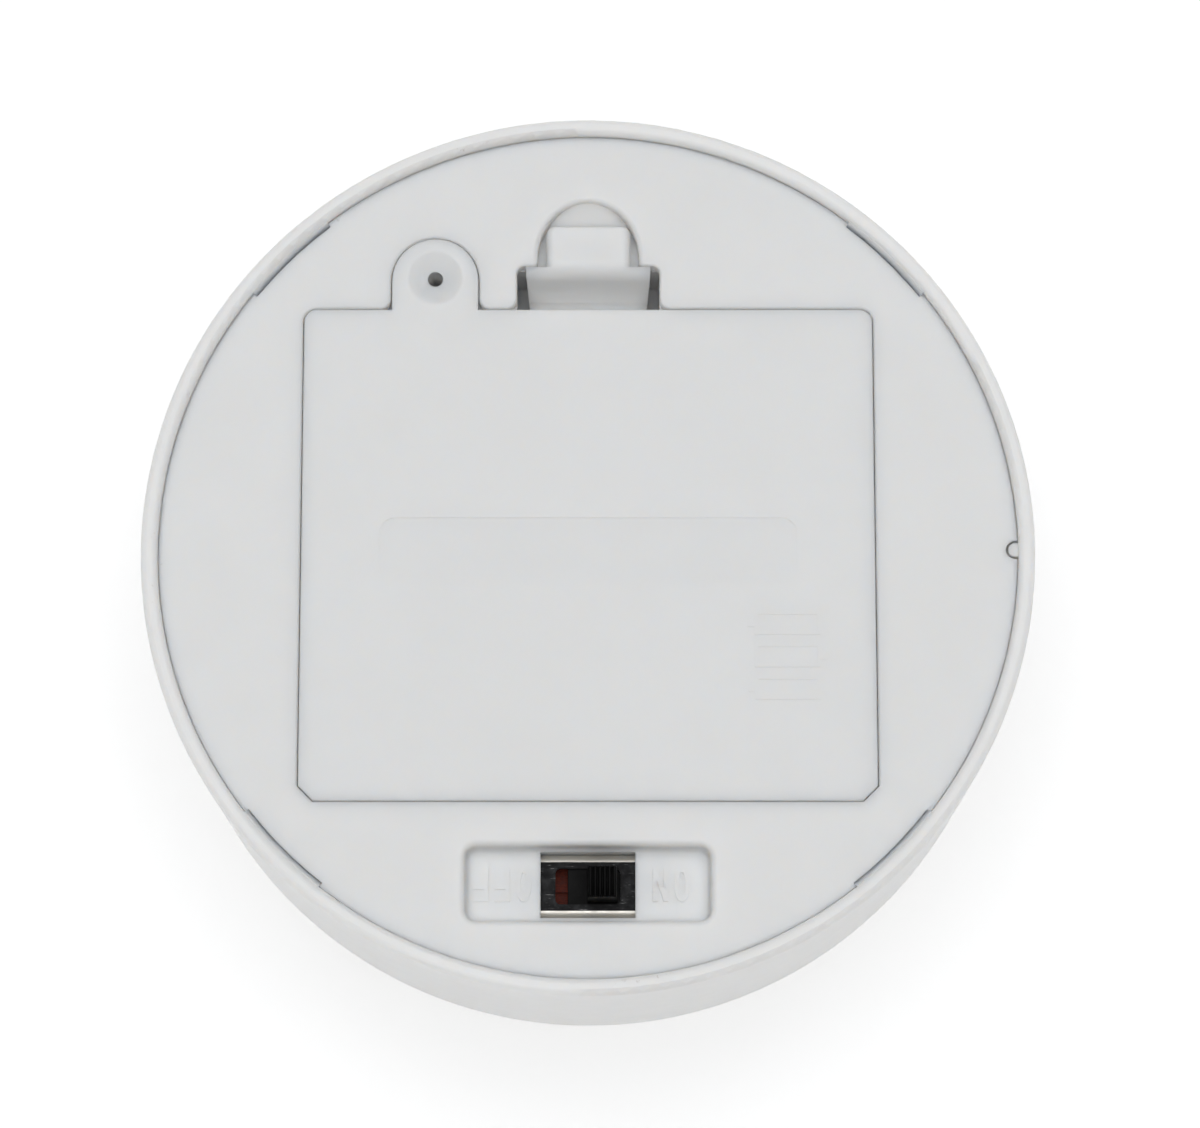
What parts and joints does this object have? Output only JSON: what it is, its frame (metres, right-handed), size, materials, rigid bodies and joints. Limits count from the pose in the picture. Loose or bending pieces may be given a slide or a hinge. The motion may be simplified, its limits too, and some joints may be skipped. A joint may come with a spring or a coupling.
{
  "type": "battery puck light",
  "caption": "Round battery light seen base up: drafted shell with rolled lip, snap-in base plate, hinged battery door with sprung latch, slide switch, cells, LED board and opal lens.",
  "frame": {"origin": "centre of the flat rest ring round the light face, which is the lowest plane when the light lies base up", "axes": "+Z out of the base, along the housing's axis of revolution; +Y from the slide switch towards the battery door's latch; +X to the right with the base facing the viewer and the latch uppermost"},
  "size_m": [0.09, 0.09, 0.036],
  "materials": {
    "white_abs": "fine satin moulded",
    "opal_acrylic": "frosted translucent",
    "reflector_white": "satin",
    "board_laminate": "white solder mask",
    "led_phosphor": "silicone over phosphor",
    "chip_ceramic": "matt ceramic",
    "zinc_steel": "bright zinc",
    "nickel_strip": "nickel plated",
    "nickel_wire": "nickel plated wire",
    "cell_steel": "nickelled deep-drawn can",
    "cell_jacket": "shrink film",
    "switch_steel": "blackened steel",
    "phenolic": "paper laminate",
    "tinned_brass": "tinned",
    "phosphor_bronze": "plain",
    "switch_black": "ribbed",
    "lead_red": "smooth PVC",
    "lead_black": "smooth PVC"
  },
  "bodies": {
    "housing": {"housing_shell": "white_abs", "base_plate": "white_abs", "diffuser_lens": "opal_acrylic", "reflector": "reflector_white", "led_board": "board_laminate", "led_chips": "led_phosphor", "board_resistors": "chip_ceramic", "board_screws": "zinc_steel", "contact_positive": "nickel_strip", "contact_negative": "nickel_strip", "contact_bridge_left": "nickel_strip", "contact_bridge_right": "nickel_strip", "contact_spring_upper": "nickel_wire", "contact_spring_middle": "nickel_wire", "contact_spring_lower": "nickel_wire", "cell_can_upper": "cell_steel", "cell_can_middle": "cell_steel", "cell_can_lower": "cell_steel", "cell_jacket_upper": "cell_jacket", "cell_jacket_middle": "cell_jacket", "cell_jacket_lower": "cell_jacket", "switch_frame": "switch_steel", "switch_base": "phenolic", "switch_terminals": "tinned_brass", "lead_positive": "lead_red", "lead_switched": "lead_red", "lead_negative": "lead_black"},
    "door": {"battery_door": "white_abs"},
    "latch": {"door_latch": "white_abs"},
    "switch_slider": {"switch_knob": "switch_black", "switch_wiper": "phosphor_bronze"}
  },
  "joints": [
    {"name": "door_hinge", "type": "hinge", "parent": "housing", "child": "door", "pos_m": [0, -0.0255, 0.03505], "axis": [1, 0, 0], "range_deg": [0, 75]},
    {"name": "latch_flex", "type": "hinge", "parent": "door", "child": "latch", "pos_m": [0, 0.026, 0.0302], "axis": [1, 0, 0], "range_deg": [0, 8], "stiffness_Nm_per_rad": 0.02},
    {"name": "switch_slide", "type": "slide", "parent": "housing", "child": "switch_slider", "axis": [1, 0, 0], "range_m": [-0.003, 0]}
  ]
}
